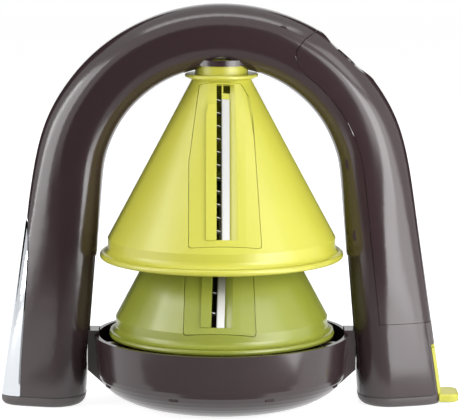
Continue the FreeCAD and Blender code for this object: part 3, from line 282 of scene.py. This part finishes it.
# %% Noise, ranges and ripples
def new_finish(name):
    """A fresh material: its node tree, its shader and the piece's own coordinates."""
    material = bpy.data.materials.new(name)
    material.use_nodes = True
    tree = material.node_tree
    coordinates = tree.nodes.new("ShaderNodeTexCoord").outputs["Object"]
    return material, tree, tree.nodes["Principled BSDF"], coordinates


def add_noise(tree, scale, detail, vector):
    """The value of a noise that varies over a vector."""
    noise = tree.nodes.new("ShaderNodeTexNoise")
    noise.inputs["Scale"].default_value = scale
    noise.inputs["Detail"].default_value = detail
    tree.links.new(vector, noise.inputs["Vector"])
    return noise.outputs["Fac"]


def set_polish(tree, shader, value, roughness):
    """Lets a value move the roughness between two numbers."""
    spread = tree.nodes.new("ShaderNodeMapRange")
    spread.inputs["To Min"].default_value, spread.inputs["To Max"].default_value = roughness
    tree.links.new(value, spread.inputs["Value"])
    tree.links.new(spread.outputs["Result"], shader.inputs["Roughness"])


def set_ripple(tree, shader, value, strength, height):
    """Lets a value raise and sink the skin by a height."""
    bump = tree.nodes.new("ShaderNodeBump")
    bump.inputs["Strength"].default_value = strength
    bump.inputs["Distance"].default_value = height
    tree.links.new(value, bump.inputs["Height"])
    tree.links.new(bump.outputs["Normal"], shader.inputs["Normal"])


print("helpers", [f.__name__ for f in (new_finish, add_noise, set_polish, set_ripple)])

# %% Moulded plastic
styrene_ior = 1.60
cloud_scale, cloud_detail = 60.0, 4.0
polish_scale, polish_detail = 140.0, 3.0
peel_scale, peel_detail, peel_height = 900.0, 2.0, 0.0002


def plastic(name, colour, second, roughness, ripple):
    """Moulded plastic: two close pigments, a polish between two roughnesses and a fine ripple."""
    material, tree, shader, coordinates = new_finish(name)
    shader.inputs["IOR"].default_value = styrene_ior
    mix = tree.nodes.new("ShaderNodeMix")
    mix.data_type = "RGBA"
    mix.inputs["A"].default_value = (*colour, 1.0)
    mix.inputs["B"].default_value = (*second, 1.0)
    tree.links.new(add_noise(tree, cloud_scale, cloud_detail, coordinates), mix.inputs["Factor"])
    tree.links.new(mix.outputs["Result"], shader.inputs["Base Color"])
    polish = add_noise(tree, polish_scale, polish_detail, coordinates)
    set_polish(tree, shader, polish, roughness)
    peel = add_noise(tree, peel_scale, peel_detail, coordinates)
    set_ripple(tree, shader, peel, ripple, peel_height)
    return material


finishes = {}
finishes["body_plastic"] = plastic("body_plastic", (0.036, 0.021, 0.024), (0.040, 0.024, 0.027),
                                   roughness=(0.15, 0.20), ripple=0.015)
mirrored = ((styrene_ior - 1) / (styrene_ior + 1)) ** 2
print("seen straight on, the plastic mirrors", round(mirrored, 3), "of the light")

# %% [markdown]
# ## Feet and rubber
#
# The arch and the bowl have a dark aubergine plastic with a high polish. The foot caps are of the
# same family but come from a tool with a fine grain, so they look lighter and duller. The pads are
# rubber: darker still, with no gloss and a coarse skin. The same rubber makes the dark cords in
# the feet's joints, which are painted shade for the shade in those joints.

# %% Feet and rubber
finishes["foot_plastic"] = plastic("foot_plastic", (0.070, 0.057, 0.058), (0.080, 0.065, 0.066),
                                   roughness=(0.38, 0.46), ripple=0.10)
finishes["rubber"] = plastic("rubber", (0.012, 0.012, 0.012), (0.018, 0.017, 0.017),
                             roughness=(0.70, 0.85), ripple=0.35)
print("dull finishes", list(finishes)[1:])

# %% [markdown]
# ## Cones and gears
#
# The fitted cone, the lever and the crank's knob are lime. The stored cone has a deeper, more
# saturated green, which is also darkened as painted shade for the shadow of the fitted cone above
# it.
# Their satin skin spreads each lamp into a broad glow down the cone. The gears and the release
# works inside are plain ivory plastic, as such parts often are, because it needs no grease.

# %% Cones and gears
finishes["lime_plastic"] = plastic("lime_plastic", (0.575, 0.560, 0.065), (0.605, 0.590, 0.075),
                                   roughness=(0.29, 0.37), ripple=0.03)
# Partly the stored cone's own deeper green, partly painted shade from the fitted cone above it.
finishes["green_plastic"] = plastic("green_plastic", (0.290, 0.325, 0.038), (0.315, 0.350, 0.045),
                                    roughness=(0.26, 0.33), ripple=0.03)
finishes["gear_plastic"] = plastic("gear_plastic", (0.72, 0.70, 0.62), (0.76, 0.74, 0.66),
                                   roughness=(0.40, 0.50), ripple=0.10)
print("coloured finishes", list(finishes)[3:])

# %% [markdown]
# ## Metal
#
# The trim is chrome, the blades and spikes are ground steel, the shafts and screws are turned
# steel, and the bushes are brass. Ground and turned metal carries fine lines that all run one way.
# An anisotropic shader could fake them, but real lines also show close up, so the noise itself is
# stretched: its scale is high across the lines and low along them. The same value shifts the
# roughness and the height.

# %% Metal with fine lines
line_detail, line_height = 4.0, 0.0001


def metal(name, colour, roughness, stretch, scratch):
    """Metal with fine lines: noise stretched along one direction shifts roughness and height."""
    material, tree, shader, coordinates = new_finish(name)
    shader.inputs["Base Color"].default_value = (*colour, 1.0)
    shader.inputs["Metallic"].default_value = 1.0
    mapping = tree.nodes.new("ShaderNodeMapping")
    mapping.inputs["Scale"].default_value = stretch
    tree.links.new(coordinates, mapping.inputs["Vector"])
    lines = add_noise(tree, 1.0, line_detail, mapping.outputs["Vector"])
    set_polish(tree, shader, lines, roughness)
    set_ripple(tree, shader, lines, scratch, line_height)
    return material


trim_lines = (60.0, 60.0, 400.0)
blade_lines = (200.0, 200.0, 2500.0)
turned_lines = (300.0, 300.0, 2500.0)
finishes["chrome_trim"] = metal("chrome_trim", (0.58, 0.605, 0.635), roughness=(0.03, 0.07),
                                stretch=trim_lines, scratch=0.02)
finishes["blade_steel"] = metal("blade_steel", (0.50, 0.50, 0.49), roughness=(0.34, 0.42),
                                stretch=blade_lines, scratch=0.03)
finishes["drive_steel"] = metal("drive_steel", (0.56, 0.56, 0.57), roughness=(0.25, 0.38),
                                stretch=turned_lines, scratch=0.12)
finishes["bush_brass"] = metal("bush_brass", (0.70, 0.50, 0.22), roughness=(0.25, 0.38),
                               stretch=turned_lines, scratch=0.12)
print("finishes", sorted(finishes))

# %% [markdown]
# ## Finish the engineering solids
#
# Every solid names its finish in the record. Putting the materials on by that name keeps the
# render and the record in step.

# %% Finish the engineering solids
slot_of = {piece["node"]: piece["material_slot"] for piece in frame["record"]["subparts"]}
for name, node in nodes.items():
    node.data.materials.clear()
    node.data.materials.append(finishes[slot_of[name]])
print("finished", len(nodes), "nodes")

# %% [markdown]
# ## Painted shade in the feet's joints
#
# Each leg stands in a moulded foot, and the joint between them shows as a fine dark line, the
# shade in the narrow gap. A thin dark cord laid in the joint is painted shade for that line. It
# could be painted on, but a round cord catches the light along its edge. It follows the outline of
# the foot's top: the corners of the foot at its top height, the ones that a stretched band round
# them would touch.

# %% A band round the corners
def band_round(points):
    """The corners that a stretched band would touch, in order."""
    points = sorted(set(points))
    sides = []
    for run in (points, points[::-1]):
        side = []
        for point in run:
            while len(side) > 1 and ((side[-1][0] - side[-2][0]) * (point[1] - side[-2][1])
                                     <= (side[-1][1] - side[-2][1]) * (point[0] - side[-2][0])):
                side.pop()
            side.append(point)
        sides += side[:-1]
    return sides


print("band round a square", band_round([(0, 0), (1, 1), (1, 0), (0, 1), (0.5, 0.5)]))

# %% [markdown]
# On the clamp's side the lever lies in a recess of the foot, so the band stops there and starts
# again behind it. The outline is turned until it begins just after the recess, and the corners in
# the recess are left out.

# %% Where a gasket runs
lever_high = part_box("clamp_lever")[1]
recess_room = 1.2 * MM
top_thickness = 0.05 * MM
digits = 6


def joint_shade_line(foot):
    """The corners of a foot's top, the foot's middle, its height, and whether the line closes."""
    low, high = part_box(foot)
    corners = [(round(v.co.x, digits), round(v.co.y, digits)) for v in nodes[foot].data.vertices
               if abs(v.co.z - high[2]) < top_thickness]
    centre = ((low[0] + high[0]) / 2, (low[1] + high[1]) / 2)
    outline = band_round(corners)
    holds_lever = lever_high[0] > low[0] > 0
    if holds_lever:
        free = [not (x > centre[0] and abs(y) < lever_high[1] + recess_room) for x, y in outline]
        first = next(k for k in range(len(free)) if free[k] and not free[k - 1])
        outline = [outline[(first + k) % len(free)] for k in range(sum(free))]
    return outline, centre, high[2], not holds_lever


print("left foot's band has", len(joint_shade_line("left_foot_cap")[0]), "corners")

# %% [markdown]
# The cord of painted shade is a curve with a round bevel, sunk a little into the foot so that it
# has no gap behind it. It rides with the stand, as the foot does.

# %% Painted shade in the feet's joints
# The cords are painted shade: dark rubber laid in each joint for the shade in the gap.
joint_shade_radius = 0.32 * MM
joint_shade_sunk = 0.12 * MM
for foot in ("left_foot_cap", "right_foot_cap"):
    outline, centre, height, closes = joint_shade_line(foot)
    curve = bpy.data.curves.new(foot.replace("cap", "gasket"), "CURVE")
    curve.dimensions = "3D"
    curve.bevel_depth = joint_shade_radius
    curve.bevel_resolution = 3
    spline = curve.splines.new("POLY")
    spline.points.add(len(outline) - 1)
    for point, (x, y) in zip(spline.points, outline):
        away = Vector((x - centre[0], y - centre[1]))
        inwards = away * (1.0 - joint_shade_sunk / away.length)
        point.co = (centre[0] + inwards.x, centre[1] + inwards.y, height, 1.0)
    spline.use_cyclic_u = closes
    gasket = bpy.data.objects.new(curve.name, curve)
    bpy.context.scene.collection.objects.link(gasket)
    gasket.data.materials.append(finishes["rubber"])
    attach(gasket, "stand")
    print(gasket.name, len(outline), "points at", round(height, 4))

# %% [markdown]
# ## Size
#
# The dressed object has to keep the size of the engineering model.

# %% Sizes
print("the scene is dressed")
